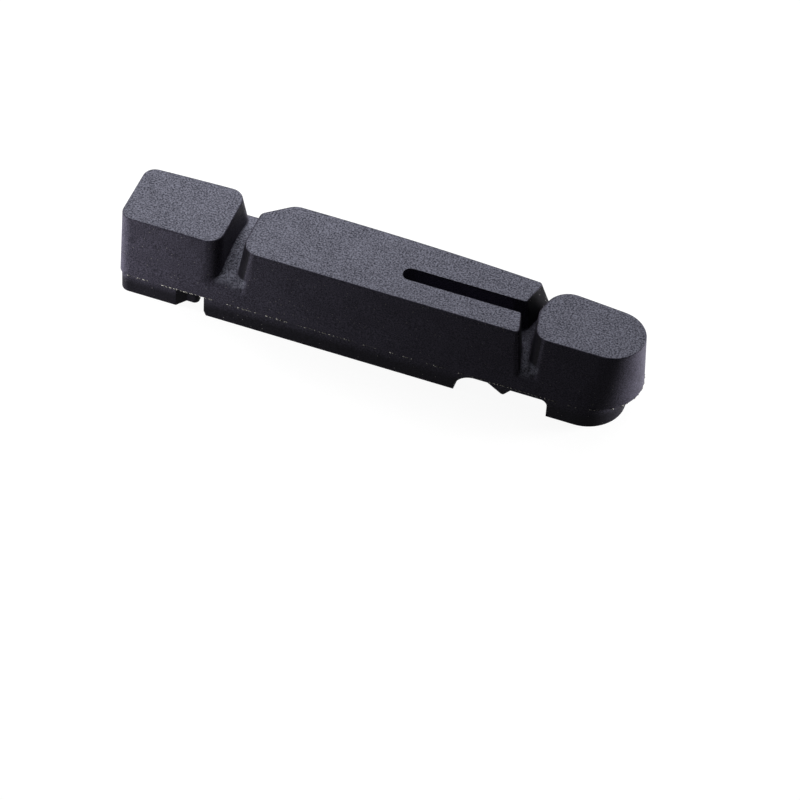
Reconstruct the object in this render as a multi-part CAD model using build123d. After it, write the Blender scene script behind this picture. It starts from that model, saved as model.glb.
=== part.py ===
from build123d import *
import math
import os

# Bicycle rim brake pad, moulded in one piece.
# It lies on the back of its rail, friction face up. X runs from the square end to the round end,
# Y from the straight side to the curved side. Stations along X are from the middle of the length,
# distances across Y are from the straight side, and levels along Z are from the back of the rail.

# Overall sizes
length = 55.0
width = 11.5
height = 10.35
rail_height = 2.62

# Friction block: curved side in plan, at the parting plane and at the friction face
crown_radius = 403.0
crown_station = -10.0
face_crown_radius = 342.0
face_crown_station = -8.0
round_end_reach = 5.6
face_round_end_reach = 3.45

# Friction block: how far each wall leans in, in degrees
straight_draft = 2.6
curved_draft = 20.0
square_end_draft = 0.4

# Friction block: corners of the square end
base_straight_corner = 1.2
base_curved_corner = 3.2
face_corner = 1.3
face_edge_round = 0.12

# Floor of the cross grooves, an arch across the width
arch_radius = 10.0
arch_crown = 6.45
arch_across = 5.6
lip_round = 1.5
lip_gap = 0.03
floor_margin = 0.25

# Cross groove beside the square end block
square_block_end = -16.6
square_block_draft = 0.3
centre_block_start = -14.27
centre_start_draft = 8.0
chamfer_across = 6.28
chamfer_angle = 39.7
chamfer_draft = 15.2

# Chevron groove beside the round end block
chevron_across = 3.95
chevron_centre = 14.55
chevron_centre_slope = 13.8
chevron_nose = 16.32
chevron_nose_slope = 12.5
chevron_draft = 5.0

# Rounded upright corners of the blocks
square_block_straight_round = 1.7
square_block_curved_round = 1.6
centre_straight_round = 1.85
chamfer_inner_round = 0.8
chamfer_outer_round = 2.0
centre_tip_round = 0.4
centre_corner_round = 0.45
slot_mouth_round = 0.45
nose_round = 2.0
nose_straight_round = 1.7
nose_curved_round = 2.5

# Lengthwise slot in the centre block
slot_start = 1.92
slot_across = 3.92
slot_width = 1.67

# Rail: outline on the back
rail_inset = 0.1
square_land_inset = 0.3
rail_round_end = 26.1
rail_width = 9.15
rail_taper = 1.14
rail_straight_corner = 1.05
rail_curved_corner = 1.6

# Two cross grooves with a ridge between them, open on the straight side
cross_round_wall = 19.08
cross_long_wall = 9.2
cross_close_across = 6.73
cross_corner = 0.75
cross_round_cover = 0.46
cross_long_cover = 0.29
cross_wall_round = 0.7
cross_run_out = 2.2
ridge_round_foot = 15.2
ridge_peak = 14.4
ridge_long_foot = 12.75
ridge_depth = 1.2
ridge_round = 0.3

# Marking pockets in the three lands, left bare
round_pocket_station = 22.88
round_pocket_across = 3.9
round_pocket_length = 5.25
round_pocket_width = 2.3
long_pocket_station = -3.72
long_pocket_across = 4.32
long_pocket_length = 23.55
long_pocket_width = 3.6
square_pocket_station = -24.62
square_pocket_across = 4.62
square_pocket_diameter = 4.0
pocket_depth = 1.2
round_pocket_depth = 0.9

# Raised square with a plain arrow, in the long pocket
arrow_pad_station = 5.3
arrow_pad_length = 2.35
arrow_pad_width = 2.5
arrow_pad_height = 0.9
arrow_length = 1.9
arrow_width = 1.2
arrow_depth = 0.35

# Notch and hole for the holder's screw, with a set-back beside it on the straight side
notch_long_wall = -17.95
notch_straight_wall = -19.1
notch_curved_wall = -20.93
notch_cover = 0.48
notch_step_across = 1.57
screw_station = -19.35
screw_across = 4.47
screw_diameter = 4.72
setback_start = -21.1
setback_end = -20.3
setback_across = 1.32
setback_round = 0.5
lead_in_reach = 0.25
lead_in_rise = 0.57

# Values that follow from the sizes
block_height = height - rail_height
square_x = -length / 2
round_x = length / 2
straight_y = -width / 2
over = width
tangent_steps = 12
steepness = 0.8


def across(distance):
    """Y of a distance from the straight side."""
    return straight_y + distance


def lean(angle, level):
    """How far a wall leaning by an angle has moved at a level below the friction face."""
    return math.tan(math.radians(angle)) * (height - level)


def round_off(face, radius):
    """Round the two corners of a face at its square end, straight side first."""
    first = face.vertices().group_by(Axis.X)[0].sort_by(Axis.Y)[0]
    face = fillet(first, radius[0])
    second = face.vertices().group_by(Axis.X)[0].sort_by(Axis.Y)[-1]
    return fillet(second, radius[1])


def oval_end(near, far, crown_r, turn, reach):
    """Half width of the oval end and the angle at which it runs smoothly into the curved side."""
    tilt = 0.0
    for _ in range(tangent_steps):
        along = turn + reach * math.sin(tilt)
        drop = math.sqrt(crown_r**2 - along**2)
        half = (far - crown_r + drop - near) / (1 + math.cos(tilt))
        tilt = math.atan(reach / half * along / drop)
    return half, tilt


def block_outline(level, crown_r, crown_x, reach, corner):
    """Plan of the friction block: one straight side, one curved side, an oval round end."""
    rise = level - rail_height
    near = straight_y + math.tan(math.radians(straight_draft)) * rise
    far = -straight_y - math.tan(math.radians(curved_draft)) * rise
    start = square_x + math.tan(math.radians(square_end_draft)) * rise
    turn_x = round_x - reach
    half, tilt = oval_end(near, far, crown_r, turn_x - crown_x, reach)
    corner_y = far - crown_r + math.sqrt(crown_r**2 - (start - crown_x) ** 2)
    side = Line((start, near), (turn_x, near))
    sweep = 180 - math.degrees(tilt)
    nose = EllipticalCenterArc((turn_x, near + half), reach, half, -90, arc_size=sweep)
    crown = ThreePointArc(nose @ 1, (crown_x, far), (start, corner_y))
    back = Line((start, corner_y), (start, near))
    return Pos(0, 0, level) * round_off(make_face([side, nose, crown, back]), corner)


def friction_block():
    """Drafted block from the parting plane up to the friction face."""
    base_corners = (base_straight_corner, base_curved_corner)
    base = block_outline(rail_height, crown_radius, crown_station, round_end_reach, base_corners)
    face_corners = (face_corner, face_corner)
    face = block_outline(height, face_crown_radius, face_crown_station, face_round_end_reach, face_corners)
    return loft([base, face], ruled=True)


def straight_wall(level):
    """Y of the straight wall of the block at a level."""
    return straight_y + math.tan(math.radians(straight_draft)) * (level - rail_height)


def flared_plan(points, rounds, level):
    """Flat polygon at a level, with the corners named in rounds rounded."""
    face = make_face(Polyline(*points, close=True))
    for corner, radius in rounds:
        face = fillet(face.vertices().sort_by_distance(corner)[0], radius)
    return Pos(0, 0, level) * face


def square_groove_plan(level):
    """Plan of the groove beside the square end block, with the centre block's chamfer."""
    mouth = straight_wall(level) - lip_gap
    wall = square_block_end + lean(square_block_draft, level)
    start = centre_block_start - lean(centre_start_draft, level)
    slope = math.tan(math.radians(chamfer_angle))
    out = lean(chamfer_draft, level) / math.cos(math.radians(chamfer_angle))
    knee = across(chamfer_across) + out + slope * (start - centre_block_start)
    left = wall - square_block_straight_round - floor_margin
    right = start + centre_straight_round + floor_margin
    points = [(left, -over), (left, mouth), (wall, mouth), (wall, over)]
    points += [(start + (over - knee) / slope, over), (start, knee)]
    points += [(start, mouth), (right, mouth), (right, -over)]
    rounds = [((wall, mouth), square_block_straight_round), ((start, mouth), centre_straight_round)]
    return flared_plan(points, rounds, level)


def chevron_plan(level):
    """Plan of the chevron groove beside the round end block."""
    mouth = straight_wall(level) - lip_gap
    shift = lean(chevron_draft, level)
    left = chevron_centre + shift
    right = chevron_nose - shift
    left_run = math.tan(math.radians(chevron_centre_slope))
    right_run = math.tan(math.radians(chevron_nose_slope))
    middle = across(chevron_across)
    high = middle + over
    heel = left + (middle - mouth) * left_run
    toe = right + (middle - mouth) * right_run
    inner = heel - centre_corner_round - floor_margin
    outer = toe + nose_straight_round + floor_margin
    points = [(inner, -over), (inner, mouth), (heel, mouth), (left, middle)]
    points += [(left + over * left_run, high), (right + over * right_run, high)]
    points += [(right, middle), (toe, mouth), (outer, mouth), (outer, -over)]
    rounds = [((heel, mouth), centre_corner_round), ((toe, mouth), nose_straight_round)]
    return flared_plan(points, rounds, level)


def groove_floor():
    """Bar whose top is the arched floor of both grooves, rolled over at the straight side."""
    disc = Pos(across(arch_across), arch_crown - arch_radius) * Circle(arch_radius)
    low = (straight_wall(rail_height) - lip_gap, rail_height)
    high = (straight_wall(height) - lip_gap, height)
    section = disc & make_face(Polyline(low, (over, rail_height), (over, height), high, close=True))
    corners = section.vertices().filter_by(lambda corner: corner.Y > rail_height + floor_margin)
    section = fillet(corners.sort_by(Axis.X)[0], lip_round)
    return extrude(Plane.YZ * section, length / 2, both=True)


def floor_side_level():
    """Lowest level of the arched floor, where it runs out through the straight side."""
    reach = max(arch_across, width - arch_across)
    return arch_crown - arch_radius + math.sqrt(arch_radius**2 - reach**2)


def groove_tool(plan):
    """Tool for a groove with a given plan, down to the arched floor."""
    low = floor_side_level() - floor_margin
    high = height + floor_margin
    return loft([plan(low), plan(high)], ruled=True) - groove_floor()


def cut_grooves(body):
    """Both cross grooves."""
    return body - groove_tool(square_groove_plan) - groove_tool(chevron_plan)


def steep_edge(body, x, y):
    """The upright edge that ends nearest a corner of the friction face."""
    upright = body.edges().filter_by(lambda edge: abs(edge.tangent_at(0.5).Z) > steepness)
    return upright.sort_by_distance((x, y, height))[0]


def face_crown_y(x):
    """Y of the curved edge of the friction face."""
    far = -straight_y - math.tan(math.radians(curved_draft)) * block_height
    return far - face_crown_radius + math.sqrt(face_crown_radius**2 - (x - face_crown_station) ** 2)


def round_corners(body):
    """Round the other upright corners of the three blocks."""
    chamfer_rise = face_crown_y(centre_block_start) - across(chamfer_across)
    chamfer_end = centre_block_start + chamfer_rise / math.tan(math.radians(chamfer_angle))
    chevron_rise = face_crown_y(chevron_nose) - across(chevron_across)
    tip_run = math.tan(math.radians(chevron_centre_slope)) * chevron_rise
    far_run = math.tan(math.radians(chevron_nose_slope)) * chevron_rise
    corners = [
        (square_block_end, face_crown_y(square_block_end), square_block_curved_round),
        (centre_block_start, across(chamfer_across), chamfer_inner_round),
        (chamfer_end, face_crown_y(chamfer_end), chamfer_outer_round),
        (chevron_centre + tip_run, face_crown_y(chevron_nose), centre_tip_round),
        (chevron_nose, across(chevron_across), nose_round),
        (chevron_nose + far_run, face_crown_y(chevron_nose), nose_curved_round),
    ]
    for x, y, radius in corners:
        body = fillet(steep_edge(body, x, y), radius)
    return body


def soften_face(body):
    """Break the sharp edges of the friction face."""
    level = body.faces().filter_by(Axis.Z)
    faces = level.filter_by(lambda face: face.center().Z > height - floor_margin)
    return fillet(faces.edges(), face_edge_round)


def slot_plan(level):
    """Plan of the lengthwise slot: a round inner end and a flared mouth in the chevron groove."""
    half = slot_width / 2
    centre = across(slot_across)
    apex = across(chevron_across)
    left = chevron_centre + lean(chevron_draft, level) + lip_gap
    run = math.tan(math.radians(chevron_centre_slope))
    end = chevron_nose - lean(chevron_draft, level) - lip_gap
    low = centre - half - slot_mouth_round - floor_margin
    high = centre + half + slot_mouth_round + floor_margin
    low_mouth = (left + (apex - centre + half) * run, centre - half)
    high_mouth = (left + (centre + half - apex) * run, centre + half)
    start = slot_start + half
    points = [(start, centre - half), low_mouth, (left + (apex - low) * run, low), (end, low)]
    points += [(end, high), (left + (high - apex) * run, high), high_mouth, (start, centre + half)]
    face = make_face(Polyline(*points, close=True)) + Pos(start, centre) * Circle(half)
    for mouth in (low_mouth, high_mouth):
        face = fillet(face.vertices().sort_by_distance(mouth)[0], slot_mouth_round)
    return Pos(0, 0, level) * face


def cut_slot(body):
    """Lengthwise slot in the centre block, as deep as the grooves and open into the chevron groove."""
    return body - groove_tool(slot_plan)


def rail():
    """Rail on the back: straight side, tapered side, full round end."""
    near = across(rail_inset)
    heel = across(square_land_inset)
    start = square_x + rail_inset
    slope = math.tan(math.radians(rail_taper))
    turn = math.cos(math.radians(rail_taper))
    end_width = rail_width - (rail_round_end - start) * slope
    end_r = end_width / (1 + 1 / turn - slope)
    middle = (rail_round_end - end_r, near + end_r)
    touch = (middle[0] + end_r * turn * slope, middle[1] + end_r * turn)
    side = Polyline((start, heel), (setback_end, heel), (setback_end, near), (middle[0], near))
    nose = ThreePointArc((middle[0], near), (rail_round_end, middle[1]), touch)
    taper = Line(touch, (start, near + rail_width))
    back = Line((start, near + rail_width), (start, heel))
    face = make_face(side.edges() + [nose, taper, back])
    return extrude(round_off(face, (rail_straight_corner, rail_curved_corner)), rail_height)


def cross_grooves():
    """Tool for the two back grooves and the ridge that stands between them."""
    round_floor = rail_height - cross_round_cover
    long_floor = rail_height - cross_long_cover
    points = [
        (cross_round_wall, -over),
        (cross_round_wall, round_floor),
        (ridge_round_foot, round_floor),
        (ridge_peak, ridge_depth),
        (ridge_long_foot, long_floor),
        (cross_long_wall, long_floor),
        (cross_long_wall, -over),
    ]
    face = make_face(Polyline(*points, close=True))
    face = fillet(face.vertices().sort_by_distance((cross_round_wall, round_floor))[0], cross_wall_round)
    face = fillet(face.vertices().sort_by_distance((ridge_peak, ridge_depth))[0], ridge_round)
    face = fillet(face.vertices().sort_by_distance((cross_long_wall, long_floor))[0], cross_run_out)
    run = extrude(Plane.XZ * face, width, both=True)
    reach = cross_round_wall - cross_long_wall
    bounds = Rectangle(reach, 2 * width)
    bounds = fillet(bounds.vertices().group_by(Axis.Y)[-1], cross_corner)
    middle = (cross_round_wall + cross_long_wall) / 2
    keep = Pos(middle, across(cross_close_across) - width, -over) * extrude(bounds, over + height)
    return run & keep


def pockets():
    """Tools for the bare marking pockets in the three lands."""
    first = extrude(SlotOverall(round_pocket_length, round_pocket_width), round_pocket_depth)
    second = extrude(SlotOverall(long_pocket_length, long_pocket_width), pocket_depth)
    third = extrude(Circle(square_pocket_diameter / 2), pocket_depth)
    return [
        Pos(round_pocket_station, across(round_pocket_across), 0) * first,
        Pos(long_pocket_station, across(long_pocket_across), 0) * second,
        Pos(square_pocket_station, across(square_pocket_across), 0) * third,
    ]


def arrow_pad():
    """Raised square in the long pocket with a plain arrow sunk in it, pointing to the round end."""
    low = pocket_depth - arrow_pad_height
    pad = extrude(Rectangle(arrow_pad_length, arrow_pad_width), arrow_pad_height)
    half = arrow_length / 2
    arrow = make_face(Polyline((half, 0), (-half, arrow_width / 2), (-half, -arrow_width / 2), close=True))
    pad -= extrude(arrow, arrow_depth)
    return Pos(arrow_pad_station, across(long_pocket_across), low) * pad


def notch_plan():
    """Plan of the set-back and of the half of the screw notch on the straight side."""
    heel = across(square_land_inset)
    inner = across(setback_across)
    middle = across(screw_across)
    points = [(setback_start, -over), (setback_start, heel), (setback_end, inner)]
    points += [(notch_straight_wall, inner), (notch_straight_wall, middle)]
    points += [(notch_long_wall, middle), (notch_long_wall, -over)]
    return flared_plan(points, [((notch_straight_wall, inner), setback_round)], 0)


def lead_in():
    """Tool for the slanted lower edge of the long land at the notch."""
    points = [(notch_long_wall, 0), (notch_long_wall + lead_in_reach, 0), (notch_long_wall, lead_in_rise)]
    return extrude(Plane.XZ * make_face(Polyline(*points, close=True)), over, both=True)


def screw_notch():
    """Tools for the notch across the rail, its screw hole and the set-back beside it."""
    depth = rail_height - notch_cover
    middle = across(screw_across)
    hole = Pos(screw_station, middle, 0) * extrude(Circle(screw_diameter / 2), depth)
    plan = notch_plan()
    step = Rectangle(notch_long_wall - setback_start, over)
    step = Pos((notch_long_wall + setback_start) / 2, across(notch_step_across) - over / 2) * step
    curved = Rectangle(notch_long_wall - notch_curved_wall, over)
    curved = Pos((notch_long_wall + notch_curved_wall) / 2, middle + over / 2) * curved
    return [hole, extrude(plan, depth), extrude(plan & step, rail_height), extrude(curved, depth), lead_in()]


def brake_pad():
    """The whole pad."""
    body = round_corners(cut_grooves(friction_block()))
    body = cut_slot(soften_face(body))
    back = rail()
    for tool in [cross_grooves()] + pockets() + screw_notch():
        back -= tool
    return body + back + arrow_pad()


pad = brake_pad()
pad.label = "brake_pad"
os.makedirs("parts", exist_ok=True)
export_step(pad, "parts/brake_pad.step")
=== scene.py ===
import math
import random

import bmesh
import bpy
from mathutils import Matrix, Vector


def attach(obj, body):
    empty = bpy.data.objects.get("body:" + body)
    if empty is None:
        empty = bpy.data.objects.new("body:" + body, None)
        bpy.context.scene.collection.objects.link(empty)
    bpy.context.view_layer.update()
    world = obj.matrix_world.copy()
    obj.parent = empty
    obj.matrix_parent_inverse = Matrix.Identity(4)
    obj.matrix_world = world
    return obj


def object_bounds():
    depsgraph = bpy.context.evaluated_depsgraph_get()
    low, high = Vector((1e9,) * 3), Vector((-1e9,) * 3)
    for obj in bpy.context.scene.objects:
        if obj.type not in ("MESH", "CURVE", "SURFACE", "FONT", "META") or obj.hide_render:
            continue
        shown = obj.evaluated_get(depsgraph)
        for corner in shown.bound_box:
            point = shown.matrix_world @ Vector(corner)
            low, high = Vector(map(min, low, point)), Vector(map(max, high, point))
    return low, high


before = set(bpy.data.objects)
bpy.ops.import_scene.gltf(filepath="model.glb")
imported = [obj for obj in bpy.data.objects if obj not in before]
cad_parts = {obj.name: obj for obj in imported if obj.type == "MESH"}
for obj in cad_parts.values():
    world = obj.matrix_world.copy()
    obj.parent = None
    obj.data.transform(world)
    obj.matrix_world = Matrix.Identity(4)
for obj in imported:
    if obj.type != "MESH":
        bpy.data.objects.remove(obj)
cad_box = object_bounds()

# Bicycle rim brake pad: one moulded rubber piece, lying friction face up on a white floor.
# Lengths are in metres, in the part's own frame, and angles in degrees. MM turns millimetres into metres.
# A station is a place along X, a side is a place along Y and a level is a height above the floor.
MM = 0.001
NODE = "brake_pad"
BODY = "root"

# Camera, fitted to the photograph: where it stands, where it looks, how it is rolled, and its lens
CAMERA_PLACE = (87.709 * MM, -276.603 * MM, 298.064 * MM)
CAMERA_AZIMUTH = 17.2282
CAMERA_ELEVATION = 46.7903
CAMERA_ROLL = 3.8652
CAMERA_LENS = 182.712

# The rail and its pockets: where one finish gives way to another, and where painted shade on the rail is
# full at its foot and weakens towards its curved side
POCKET_LEVELS = (0.5 * MM, 1.4 * MM)
LEDGE_LEVEL = 2.5 * MM
PARTING_LEVEL = 2.62 * MM
LEVEL_SLACK = 0.02 * MM
SEAM_LEVELS = (2.55 * MM, 2.68 * MM)
RAIL_SHADE_FULL_LEVEL = 1.1 * MM
RAIL_SIDES = (1.0 * MM, 3.2 * MM)

# The friction face, its two grooves and its slot: where one finish gives way to another, where painted
# shade darkens the chevron's floor towards its deep end and the groove walls by their mouths, and where
# painted light makes the slot's walls paler
FACE_EDGE = 0.17 * MM
FACE_LEVEL = cad_box[1][2] - FACE_EDGE
GROOVE_LOW = 3.2 * MM
GROOVE_HIGH = 9.0 * MM
SQUARE_GROOVE = (-17.6 * MM, -12.4 * MM)
CHEVRON_GROOVE = (13.5 * MM, 19.0 * MM)
# Painted shade on the chevron's floor towards its deep end: the sides over which it sets in, and its
# strength
CHEVRON_SHADE_SIDES = (-4.5 * MM, -1.0 * MM)
CHEVRON_DEEP_PAINTED_SHADE = 0.65
GROOVE_MOUTH = (-3.6 * MM, -1.6 * MM)
SLOT_SIDES = (-3.2 * MM, -0.5 * MM)
SLOT_STATIONS = (1.5 * MM, 13.5 * MM)
FLOOR_BLEND = 0.70 * MM
FLOOR_BLEND_SAMPLES = 8

# The flare of a groove's lip at the foot of the next block's corner: the corner's station and the
# flare's strength for each groove, then the flare's level, its slope, half its size and how it fades
LIP_CORNERS = ((-14.4 * MM, 0.65), (16.9 * MM, 1.0))
LIP_LEVEL = 5.55 * MM
LIP_RISE = 0.5
LIP_LENGTH = 1.15 * MM
LIP_HEIGHT = 0.85 * MM
LIP_FADE = (0.3, 1.0)
LIP_SIDES = (-4.8 * MM, -4.1 * MM)

# How far a surface faces one way for a finish to set in, and to be full. The square and round facings set
# where groove walls get painted shade, the narrow facing where the chevron's floor does
FACE_FACING = (0.93, 0.99)
RIM_FACING = (0.20, 0.50)
FLOOR_FACING = (0.60, 1.02)
NARROW_FACING = (0.10, 0.45)
DOWN_FACING = (0.6, 0.9)
SQUARE_FACING = (0.33, 0.48)
ROUND_FACING = (0.80, 0.95)

# How much a groove's floor gains where it rolls over at its mouth, in the square groove and in the
# chevron groove, and how much it gains beside the square block
MOUTH_LIFT = (-0.12, -0.45)
SQUARE_LIFT = 0.3

# Rubber: colours of the grained faces, the walls, the smooth ledge, the seam, the specks and the flash
GRAIN_DARK = (0.038, 0.0385, 0.051)
GRAIN_PALE = (0.250, 0.252, 0.314)
WALL_DARK = (0.022, 0.0205, 0.029)
WALL_PALE = (0.082, 0.076, 0.105)
LEDGE_COLOUR = (0.050, 0.049, 0.057)
SEAM_COLOUR = (0.105, 0.100, 0.110)
SPECK_COLOUR = (0.170, 0.162, 0.160)
FLASH_DARK = (0.110, 0.106, 0.102)
FLASH_PALE = (0.400, 0.382, 0.350)

# Rubber: painted shade as shares of the wall colour on the rail towards its foot, the part of it kept on
# the rail's curved side, painted shade on groove walls in both grooves, and painted light in the slot
RAIL_PAINTED_SHADE = 0.25
RAIL_FAR_PAINTED_SHADE = 0.5
GROOVE_WALL_PAINTED_SHADE = 0.25
CHEVRON_WALL_PAINTED_SHADE = 0.10
SLOT_WALL_PAINTED_LIGHT = 1.8

# Rubber: sizes, depths and tones of the grain, the clouds, the specks and the seam
FACE_GRAIN = 0.175 * MM
FACE_GRAIN_DEPTH = 0.020 * MM
FACE_GRAIN_DETAIL = 3.0
FACE_TONES = (0.30, 0.70)
FACE_CLOUD = (-0.05, 0.05)
WALL_GRAIN = 0.14 * MM
WALL_GRAIN_DEPTH = 0.006 * MM
WALL_TONES = (0.30, 0.75)
WALL_CLOUD = (-0.08, 0.08)
GRAIN_RAGGED = 0.6
CLOUD_SIZE = 2.5 * MM
SPECK_GAP = 0.5 * MM
SPECK_SIZE = 0.115
SPECK_SHARE = 0.45
SEAM_SIZE = 0.8 * MM
SEAM_TONES = (0.42, 0.70)

# Rubber: roughness of the walls, the grained faces and the flash, and what the grain and the smooth
# places change of it
WALL_ROUGHNESS = 0.52
FACE_ROUGHNESS = 0.78
FLASH_ROUGHNESS = 0.7
GRAIN_ROUGHNESS = (-0.06, 0.06)
SMOOTH_GLOSS = 0.18
RUBBER_SPECULAR = 0.03

# Flash left on the parting line and on the rail's edge
FLASH_SEED = 7
FLASH_NEAR_GAP = (0.15 * MM, 0.50 * MM)
FLASH_FAR_GAP = (0.7 * MM, 1.8 * MM)
FLASH_NEAR_SHARE = 0.78
FLASH_LENGTH = (0.12 * MM, 0.50 * MM)
FLASH_THICKNESS = (0.10 * MM, 0.19 * MM)
FLASH_RAGGED = (0.7, 1.15)
FLASH_TONE_SIZE = 0.5 * MM
FLASH_TONES = (0.35, 0.65)
RAIL_FLASH_SIDE = 1.0 * MM
SHARP_EDGE = 40.0
UPRIGHT_FACING = 0.5
JOIN_REACH = 0.002 * MM

# Floor and surroundings
FLOOR_REACH = 2.0
FLOOR_LEVEL = -0.01 * MM
FLOOR_GLOW = 0.93
FLOOR_SHADED = 0.15
FLOOR_DIM = 0.02
WORLD_DIM = 0.017

# Lights: an even light from above and one from below, a key box above the square end,
# a low box by each end and one in front
SKY_STRENGTH = 1.5
SKY_ANGLE = 50.0
SKY_FROM = (-0.10, 0.55, 1.0)
UNDER_STRENGTH = 1.6
UNDER_ANGLE = 20.0
UNDER_FROM = (-0.10, 0.15, -1.0)
KEY_PLACE = (-30 * MM, 38 * MM, 55 * MM)
KEY_AIM = (-15 * MM, 0.0, 10 * MM)
KEY_SIZE = 50 * MM
KEY_POWER = 0.0311
FRONT_PLACE = (-37 * MM, -26 * MM, 6 * MM)
FRONT_AIM = (-10 * MM, -5 * MM, 6 * MM)
FRONT_SIZE = 8 * MM
FRONT_POWER = 0.0057
LEFT_PLACE = (-62 * MM, -7.4 * MM, 6 * MM)
LEFT_AIM = (-27 * MM, -5 * MM, 6 * MM)
LEFT_SIZE = 3 * MM
LEFT_POWER = 0.032
RIGHT_PLACE = (64 * MM, 21 * MM, 6 * MM)
RIGHT_AIM = (25 * MM, 0.0, 6 * MM)
RIGHT_SIZE = 16 * MM
RIGHT_POWER = 0.056


class Graph:
    """Short ways to add nodes to a node tree and join them."""

    # Sockets of a mix node for each kind of value: first, second and result
    MIX_SOCKETS = {"FLOAT": (2, 3, 0), "VECTOR": (4, 5, 1), "RGBA": (6, 7, 2)}

    def __init__(self, tree):
        self.tree = tree
        tree.nodes.clear()

    def node(self, kind, **settings):
        made = self.tree.nodes.new(kind)
        for name, value in settings.items():
            setattr(made, name, value)
        return made

    def join(self, value, socket):
        """Link a socket to another one, or set it to a plain value."""
        if isinstance(value, bpy.types.NodeSocket):
            self.tree.links.new(value, socket)
        else:
            socket.default_value = value

    def output(self, kind, inputs):
        """First output of a new node, with some of its inputs joined by name."""
        made = self.node(kind)
        for name, value in inputs.items():
            self.join(value, made.inputs[name])
        return made.outputs[0]

    def finish(self, shader, kind="ShaderNodeOutputMaterial"):
        """End the tree with a shader."""
        self.join(shader, self.node(kind).inputs["Surface"])

    def math(self, operation, first, second=0.0):
        made = self.node("ShaderNodeMath", operation=operation)
        self.join(first, made.inputs[0])
        self.join(second, made.inputs[1])
        return made.outputs[0]

    def times(self, first, *others):
        """Product of all the values."""
        for other in others:
            first = self.math("MULTIPLY", first, other)
        return first

    def plus(self, first, second):
        return self.math("ADD", first, second)

    def minus(self, first, second):
        return self.math("SUBTRACT", first, second)

    def most(self, first, second):
        return self.math("MAXIMUM", first, second)

    def rest(self, share):
        """What a share leaves of 1."""
        return self.minus(1.0, share)

    def opposite(self, value):
        return self.times(value, -1.0)

    def square(self, value):
        return self.times(value, value)

    def parts(self, vector):
        """X, Y and Z of a vector."""
        made = self.node("ShaderNodeSeparateXYZ")
        self.join(vector, made.inputs[0])
        return made.outputs["X"], made.outputs["Y"], made.outputs["Z"]

    def above(self, value, low):
        """1 above low, 0 elsewhere."""
        return self.math("GREATER_THAN", value, low)

    def below(self, value, high):
        """1 below high, 0 elsewhere."""
        return self.math("LESS_THAN", value, high)

    def between(self, value, low, high):
        """1 between low and high, 0 elsewhere."""
        return self.times(self.above(value, low), self.below(value, high))

    def ramp(self, value, low, high):
        """0 below low, 1 above high, and smooth between them."""
        made = self.node("ShaderNodeMapRange", interpolation_type="SMOOTHSTEP")
        self.join(value, made.inputs["Value"])
        made.inputs["From Min"].default_value = low
        made.inputs["From Max"].default_value = high
        return made.outputs["Result"]

    def span(self, value, low, high):
        """From low to high as the value goes from 0 to 1."""
        made = self.node("ShaderNodeMapRange")
        self.join(value, made.inputs["Value"])
        made.inputs["To Min"].default_value = low
        made.inputs["To Max"].default_value = high
        return made.outputs["Result"]

    def mix(self, kind, share, first, second):
        """From the first to the second value as the share goes from 0 to 1."""
        made = self.node("ShaderNodeMix", data_type=kind)
        first_socket, second_socket, result = self.MIX_SOCKETS[kind]
        self.join(share, made.inputs[0])
        self.join(first, made.inputs[first_socket])
        self.join(second, made.inputs[second_socket])
        return made.outputs[result]

    def mix_shaders(self, share, first, second):
        """From the first to the second shader as the share goes from 0 to 1."""
        made = self.node("ShaderNodeMixShader")
        for value, socket in zip((share, first, second), made.inputs):
            self.join(value, socket)
        return made.outputs[0]

    def blend(self, share, first, second):
        """Colour that goes from the first to the second."""
        return self.mix("RGBA", share, solid(first), solid(second))

    def scaled(self, colour, share):
        """A colour times a share."""
        made = self.node("ShaderNodeVectorMath", operation="SCALE")
        self.join(colour, made.inputs[0])
        self.join(share, made.inputs["Scale"])
        return made.outputs[0]

    def noise(self, place, size, detail=2.0, roughness=0.5):
        made = self.node("ShaderNodeTexNoise")
        self.join(place, made.inputs["Vector"])
        made.inputs["Scale"].default_value = 1 / size
        made.inputs["Detail"].default_value = detail
        made.inputs["Roughness"].default_value = roughness
        return made.outputs["Fac"]

    def specks(self, place, gap, size, share):
        """1 on small dots, a gap apart, of which a share is left out."""
        made = self.node("ShaderNodeTexVoronoi")
        self.join(place, made.inputs["Vector"])
        made.inputs["Scale"].default_value = 1 / gap
        near = self.below(made.outputs["Distance"], size)
        chosen = self.above(self.parts(made.outputs["Color"])[0], share)
        return self.times(near, chosen)


def solid(colour):
    """A colour as a socket takes it: one that is linked, or one with its alpha."""
    return colour if isinstance(colour, bpy.types.NodeSocket) else (*colour, 1.0)


def grey(tone):
    return solid((tone, tone, tone))


def new_material(name):
    """A new material and its empty graph."""
    material = bpy.data.materials.new(name)
    material.use_nodes = True
    return material, Graph(material.node_tree)


def smooth_object(name, mesh):
    """A new object in the scene, with smooth faces."""
    for polygon in mesh.polygons:
        polygon.use_smooth = True
    piece = bpy.data.objects.new(name, mesh)
    bpy.context.scene.collection.objects.link(piece)
    return piece


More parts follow.
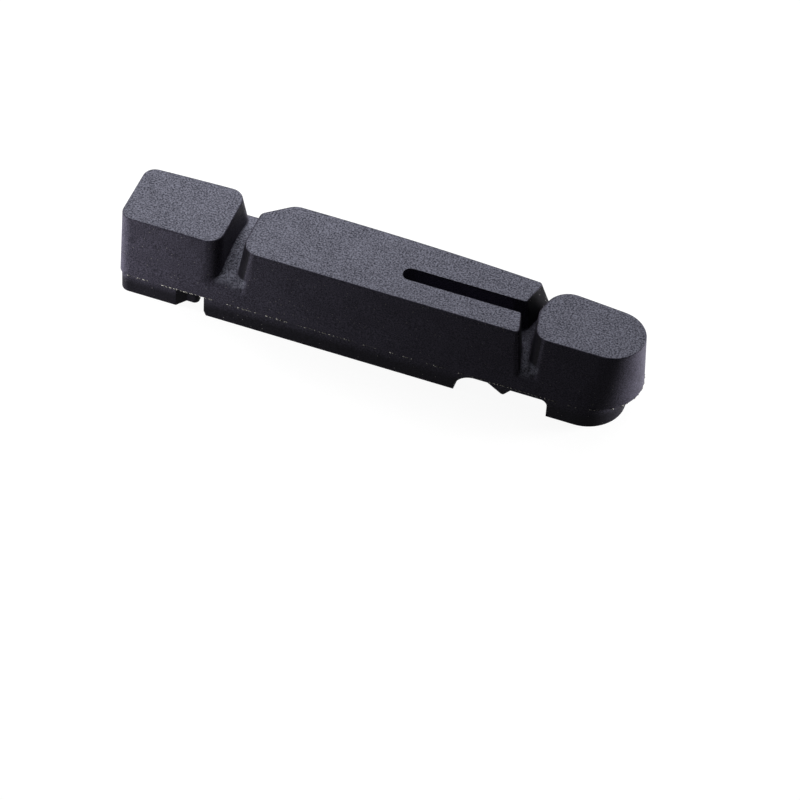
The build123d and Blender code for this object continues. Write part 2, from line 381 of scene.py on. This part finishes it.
class Spot:
    """Where a spot of the pad's surface lies and which way it faces, as values in a graph.

    The soft normal is rounded where a groove's floor meets its walls.
    """

    def __init__(self, graph):
        self.place = graph.node("ShaderNodeTexCoord").outputs["Object"]
        self.station, self.side, self.level = graph.parts(self.place)
        self.normal = graph.node("ShaderNodeNewGeometry").outputs["Normal"]
        self.facing_end, _, self.facing_up = graph.parts(self.normal)
        rounded = graph.node("ShaderNodeBevel", samples=FLOOR_BLEND_SAMPLES)
        graph.join(FLOOR_BLEND, rounded.inputs["Radius"])
        self.soft_normal = rounded.outputs[0]
        self.soft_end, self.soft_side, self.soft_up = graph.parts(self.soft_normal)
        self.in_groove = graph.between(self.level, GROOVE_LOW, GROOVE_HIGH)
        self.at_square = graph.between(self.station, *SQUARE_GROOVE)
        self.at_chevron = graph.between(self.station, *CHEVRON_GROOVE)
        self.at_groove = graph.most(self.at_square, self.at_chevron)


def face_share(graph, spot):
    """1 on the friction face, up to its rounded edges."""
    rim = graph.times(spot.at_groove, graph.ramp(graph.opposite(spot.soft_end), *RIM_FACING))
    facing = graph.ramp(spot.facing_up, *FACE_FACING)
    return graph.times(graph.above(spot.level, FACE_LEVEL), facing, graph.rest(rim))


def floor_share(graph, spot):
    """1 on the floors of the grooves, less where they round into the walls, partly as painted shade, and
    less inside the chevron, where wall colour is painted on the floor as shade where it bends up to the
    walls and towards its deep end.
    """
    rolled = graph.math("MINIMUM", spot.soft_side, 0.0)
    lift = graph.times(rolled, graph.span(spot.at_chevron, *MOUTH_LIFT))
    lift = graph.plus(lift, graph.times(spot.soft_end, spot.at_square, SQUARE_LIFT))
    facing = graph.ramp(graph.plus(spot.soft_up, lift), *FLOOR_FACING)
    # Painted shade: inside the chevron the floor takes wall colour where it bends up and towards its deep
    # end
    steep = graph.ramp(graph.math("ABSOLUTE", spot.soft_end), *NARROW_FACING)
    deep_shade = graph.times(graph.ramp(spot.side, *CHEVRON_SHADE_SIDES), CHEVRON_DEEP_PAINTED_SHADE)
    narrow_shade = graph.times(spot.at_chevron, graph.most(steep, deep_shade))
    return graph.times(spot.in_groove, facing, graph.rest(narrow_shade))


def lip_share(graph, spot, corner):
    """1 on the foot of a block's corner, where the groove's lip flares up to it."""
    along = graph.minus(spot.station, corner)
    middle = graph.plus(LIP_LEVEL, graph.times(along, LIP_RISE))
    up = graph.minus(spot.level, middle)
    away = graph.plus(graph.square(graph.math("DIVIDE", along, LIP_LENGTH)),
                      graph.square(graph.math("DIVIDE", up, LIP_HEIGHT)))
    flare = graph.rest(graph.ramp(away, *LIP_FADE))
    return graph.times(flare, graph.rest(graph.ramp(spot.side, *LIP_SIDES)))


def finish_shares(graph, spot):
    """Shares of the grained and of the smooth finish, and of what faces down. The rest is wall, which is
    also where the groove floors get wall colour as painted shade.
    """
    down = graph.ramp(graph.opposite(spot.facing_up), *DOWN_FACING)
    in_pocket = graph.between(spot.level, *POCKET_LEVELS)
    smooth = graph.times(down, graph.most(in_pocket, graph.above(spot.level, LEDGE_LEVEL)))
    up = graph.most(face_share(graph, spot), floor_share(graph, spot))
    grained = graph.most(up, graph.minus(down, smooth))
    for corner, strength in LIP_CORNERS:
        grained = graph.most(grained, graph.times(lip_share(graph, spot, corner), strength))
    return grained, smooth, down


def walls_with_painted_shade_and_light(graph, spot):
    """Walls painted darker as shade or paler as light, each with its share of the wall colour: painted
    shade on the rail towards its foot and on groove walls, painted light in the slot.
    """
    # Painted shade: the rail's walls darker towards the foot, less so on the curved side
    shade_towards_foot = graph.rest(graph.ramp(spot.level, RAIL_SHADE_FULL_LEVEL, PARTING_LEVEL))
    near = graph.span(graph.ramp(spot.side, *RAIL_SIDES), 1.0, RAIL_FAR_PAINTED_SHADE)
    rail = graph.times(graph.below(spot.level, PARTING_LEVEL - LEVEL_SLACK), shade_towards_foot, near)
    above_lip = graph.above(spot.level, GROOVE_LOW)
    # Painted shade: groove walls facing the square end, by the groove's mouth
    to_square = graph.ramp(graph.opposite(spot.facing_end), *SQUARE_FACING)
    by_mouth = graph.rest(graph.ramp(spot.side, *GROOVE_MOUTH))
    groove = graph.times(spot.at_groove, to_square, by_mouth, above_lip)
    # Painted shade: chevron walls facing the round end
    to_round = graph.ramp(spot.facing_end, *ROUND_FACING)
    chevron = graph.times(spot.at_chevron, to_round, above_lip)
    # Painted light: the slot's walls paler
    slot = graph.times(graph.between(spot.station, *SLOT_STATIONS), graph.between(spot.side, *SLOT_SIDES),
                       graph.between(spot.level, GROOVE_LOW, FACE_LEVEL))
    return ((rail, RAIL_PAINTED_SHADE), (groove, GROOVE_WALL_PAINTED_SHADE),
            (chevron, CHEVRON_WALL_PAINTED_SHADE), (slot, SLOT_WALL_PAINTED_LIGHT))


def rubber():
    """Moulded rubber: grained faces, finer grained walls, and a smooth ledge and pocket floors, with
    painted shade on the rail and in the grooves and painted light in the slot.
    """
    material, graph = new_material("moulded_rubber")
    spot = Spot(graph)
    grained, smooth, down = finish_shares(graph, spot)
    face_grain = graph.noise(spot.place, FACE_GRAIN, FACE_GRAIN_DETAIL, GRAIN_RAGGED)
    wall_grain = graph.noise(spot.place, WALL_GRAIN, roughness=GRAIN_RAGGED)
    cloud = graph.noise(spot.place, CLOUD_SIZE)

    face_tone = graph.ramp(graph.plus(face_grain, graph.span(cloud, *FACE_CLOUD)), *FACE_TONES)
    face_colour = graph.blend(face_tone, GRAIN_DARK, GRAIN_PALE)
    wall_tone = graph.ramp(graph.plus(wall_grain, graph.span(cloud, *WALL_CLOUD)), *WALL_TONES)
    wall_colour_and_painted_shade = graph.blend(wall_tone, WALL_DARK, WALL_PALE)
    # Painted shade and painted light scale the wall colour
    for wall, share in walls_with_painted_shade_and_light(graph, spot):
        wall_colour_and_painted_shade = graph.scaled(wall_colour_and_painted_shade, graph.span(wall, 1.0, share))
    colour = graph.blend(smooth, graph.blend(grained, wall_colour_and_painted_shade, face_colour), LEDGE_COLOUR)
    seam = graph.times(graph.between(spot.level, *SEAM_LEVELS), graph.rest(down),
                       graph.ramp(graph.noise(spot.place, SEAM_SIZE), *SEAM_TONES))
    colour = graph.blend(seam, colour, SEAM_COLOUR)
    specks = graph.specks(spot.place, SPECK_GAP, SPECK_SIZE, SPECK_SHARE)
    hidden = graph.most(grained, graph.between(spot.side, *SLOT_SIDES))
    colour = graph.blend(graph.times(specks, graph.rest(hidden)), colour, SPECK_COLOUR)

    roughness = graph.plus(graph.span(grained, WALL_ROUGHNESS, FACE_ROUGHNESS),
                           graph.span(wall_grain, *GRAIN_ROUGHNESS))
    roughness = graph.minus(roughness, graph.times(smooth, SMOOTH_GLOSS))
    height = graph.mix("FLOAT", grained, graph.times(wall_grain, WALL_GRAIN_DEPTH),
                       graph.times(face_grain, FACE_GRAIN_DEPTH))
    normal = graph.mix("VECTOR", spot.in_groove, spot.normal, spot.soft_normal)
    bumped = graph.output("ShaderNodeBump", {
        "Strength": 1.0, "Distance": 1.0, "Height": height, "Normal": normal})
    graph.finish(graph.output("ShaderNodeBsdfPrincipled", {
        "Base Color": colour, "Roughness": roughness,
        "Specular IOR Level": RUBBER_SPECULAR, "Normal": bumped}))
    return material


def flash_rubber():
    """Thin torn rubber, paler than the mass it comes from."""
    material, graph = new_material("torn_rubber")
    place = graph.node("ShaderNodeTexCoord").outputs["Object"]
    tone = graph.ramp(graph.noise(place, FLASH_TONE_SIZE), *FLASH_TONES)
    colour = graph.blend(tone, FLASH_DARK, FLASH_PALE)
    graph.finish(graph.output("ShaderNodeBsdfPrincipled", {
        "Base Color": colour, "Roughness": FLASH_ROUGHNESS, "Specular IOR Level": RUBBER_SPECULAR}))
    return material


def dress_pad():
    """Give the pad itself its finish."""
    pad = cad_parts[NODE]
    pad.data.materials.clear()
    pad.data.materials.append(rubber())


def joined_mesh():
    """The pad's surface with its corners joined, as a mesh to read edges from."""
    surface = bmesh.new()
    surface.from_mesh(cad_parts[NODE].data)
    bmesh.ops.remove_doubles(surface, verts=surface.verts, dist=JOIN_REACH)
    return surface


def at_level(edge, level):
    return all(abs(corner.co.z - level) < LEVEL_SLACK for corner in edge.verts)


def flash_edges(surface):
    """Edges where the mould halves met: the parting line, and the rail's edge on the curved side."""
    found = []
    for edge in surface.edges:
        if len(edge.link_faces) != 2 or edge.calc_face_angle(0.0) < math.radians(SHARP_EDGE):
            continue
        walls = [face for face in edge.link_faces if abs(face.normal.z) < UPRIGHT_FACING]
        if not walls:
            continue
        wall = walls[0]
        first, second = (corner.co.copy() for corner in edge.verts)
        out = wall.normal.copy()
        above = min(corner.co.z for corner in wall.verts) > PARTING_LEVEL - LEVEL_SLACK
        parting = at_level(edge, PARTING_LEVEL) and above
        rail = at_level(edge, 0.0) and out.y > 0 and first.y > RAIL_FLASH_SIDE
        if parting or rail:
            found.append((first, second, out))
    return found


def add_crumb(mesh, centre, along, out, size, chance):
    """An irregular crumb of rubber, longer than it is thick, lying along an edge."""
    across = along.cross(out).normalized()
    turn = Matrix((along, across, out)).transposed().to_4x4()
    scale = Matrix.Diagonal((*size, 1.0))
    ball = bmesh.ops.create_icosphere(mesh, subdivisions=1, radius=1 / 2)
    for corner in ball["verts"]:
        corner.co *= chance.uniform(*FLASH_RAGGED)
        corner.co = Matrix.Translation(centre) @ turn @ scale @ corner.co


def flash_gap(chance):
    """Distance to the next crumb: they come in loose rows, with bare stretches between the rows."""
    near = chance.random() < FLASH_NEAR_SHARE
    return chance.uniform(*(FLASH_NEAR_GAP if near else FLASH_FAR_GAP))


def flash():
    """Crumbs of flash along the parting line and the rail's edge."""
    surface = joined_mesh()
    chance = random.Random(FLASH_SEED)
    crumbs = bmesh.new()
    wait = flash_gap(chance)
    for start, end, out in flash_edges(surface):
        run = end - start
        length = run.length
        along = run.normalized()
        while wait < length:
            limits = (FLASH_LENGTH, FLASH_THICKNESS, FLASH_THICKNESS)
            size = [chance.uniform(*limit) for limit in limits]
            centre = start + along * wait
            centre.z = max(centre.z, size[1] / 2)
            add_crumb(crumbs, centre, along, out, size, chance)
            wait += flash_gap(chance)
        wait -= length
    surface.free()
    mesh = bpy.data.meshes.new("parting_flash")
    crumbs.to_mesh(mesh)
    crumbs.free()
    piece = smooth_object("parting_flash", mesh)
    piece.data.materials.append(flash_rubber())
    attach(piece, BODY)


def white_share(graph):
    """1 for rays that should see the white background: from the camera, a mirror or glass."""
    rays = graph.node("ShaderNodeLightPath")
    share = graph.most(rays.outputs["Is Camera Ray"], rays.outputs["Is Glossy Ray"])
    return graph.most(share, rays.outputs["Is Transmission Ray"])


def white_floor():
    """White that keeps the pad's shadow, throws little light back and is clear from below."""
    material, graph = new_material("white_floor")
    glow = graph.output("ShaderNodeEmission", {"Strength": FLOOR_GLOW})
    shaded = graph.output("ShaderNodeBsdfDiffuse", {"Color": grey(FLOOR_SHADED)})
    seen = graph.node("ShaderNodeAddShader")
    graph.join(glow, seen.inputs[0])
    graph.join(shaded, seen.inputs[1])
    dim = graph.output("ShaderNodeBsdfDiffuse", {"Color": grey(FLOOR_DIM)})
    from_above = graph.mix_shaders(white_share(graph), dim, seen.outputs[0])
    from_below = graph.node("ShaderNodeNewGeometry").outputs["Backfacing"]
    to_a_light = graph.node("ShaderNodeLightPath").outputs["Is Shadow Ray"]
    clear = graph.output("ShaderNodeBsdfTransparent", {})
    graph.finish(graph.mix_shaders(graph.most(from_below, to_a_light), from_above, clear))
    return material


def floor():
    """A square of floor under the pad."""
    turns = ((-1, -1), (1, -1), (1, 1), (-1, 1))
    corners = [(x * FLOOR_REACH, y * FLOOR_REACH, FLOOR_LEVEL) for x, y in turns]
    mesh = bpy.data.meshes.new("floor")
    mesh.from_pydata(corners, [], [range(len(corners))])
    piece = smooth_object("floor", mesh)
    piece.data.materials.append(white_floor())


def surroundings():
    """White all round to the eye, dim as a light."""
    world = bpy.data.worlds.new("studio")
    world.use_nodes = True
    graph = Graph(world.node_tree)
    dim, white = (graph.output("ShaderNodeBackground", {"Color": grey(1.0), "Strength": strength})
                  for strength in (WORLD_DIM, 1.0))
    graph.finish(graph.mix_shaders(white_share(graph), dim, white), "ShaderNodeOutputWorld")
    bpy.context.scene.world = world


def aim(piece, direction):
    piece.rotation_euler = Vector(direction).to_track_quat("-Z", "Y").to_euler()


def sky_light(name, strength, angle, come_from):
    """Even light from one side."""
    light = bpy.data.lights.new(name, "SUN")
    light.energy = strength
    light.angle = math.radians(angle)
    piece = bpy.data.objects.new(name, light)
    aim(piece, -Vector(come_from))
    bpy.context.scene.collection.objects.link(piece)


def soft_box(name, place, target, size, power):
    """Square lamp that the camera doesn't see."""
    light = bpy.data.lights.new(name, "AREA")
    light.shape = "SQUARE"
    light.size = size
    light.energy = power
    piece = bpy.data.objects.new(name, light)
    piece.location = place
    aim(piece, Vector(target) - Vector(place))
    piece.visible_camera = False
    bpy.context.scene.collection.objects.link(piece)


def camera():
    """Camera at the photograph's viewing angle."""
    azimuth = math.radians(CAMERA_AZIMUTH)
    elevation = math.radians(CAMERA_ELEVATION)
    right = Vector((math.cos(azimuth), math.sin(azimuth), 0.0))
    ahead = Vector((-math.sin(azimuth) * math.cos(elevation),
                    math.cos(azimuth) * math.cos(elevation), -math.sin(elevation)))
    axes = Matrix((right, right.cross(ahead), -ahead)).transposed().to_4x4()
    roll = Matrix.Rotation(math.radians(CAMERA_ROLL), 4, "Z")
    data = bpy.data.cameras.new("camera")
    data.lens = CAMERA_LENS
    piece = bpy.data.objects.new("camera", data)
    piece.matrix_world = Matrix.Translation(CAMERA_PLACE) @ axes @ roll
    bpy.context.scene.collection.objects.link(piece)
    bpy.context.scene.camera = piece


dress_pad()
flash()
floor()
surroundings()
sky_light("sky", SKY_STRENGTH, SKY_ANGLE, SKY_FROM)
sky_light("under_sky", UNDER_STRENGTH, UNDER_ANGLE, UNDER_FROM)
soft_box("key_box", KEY_PLACE, KEY_AIM, KEY_SIZE, KEY_POWER)
soft_box("front_box", FRONT_PLACE, FRONT_AIM, FRONT_SIZE, FRONT_POWER)
soft_box("left_box", LEFT_PLACE, LEFT_AIM, LEFT_SIZE, LEFT_POWER)
soft_box("right_box", RIGHT_PLACE, RIGHT_AIM, RIGHT_SIZE, RIGHT_POWER)
camera()
bpy.context.scene.view_settings.view_transform = "Standard"
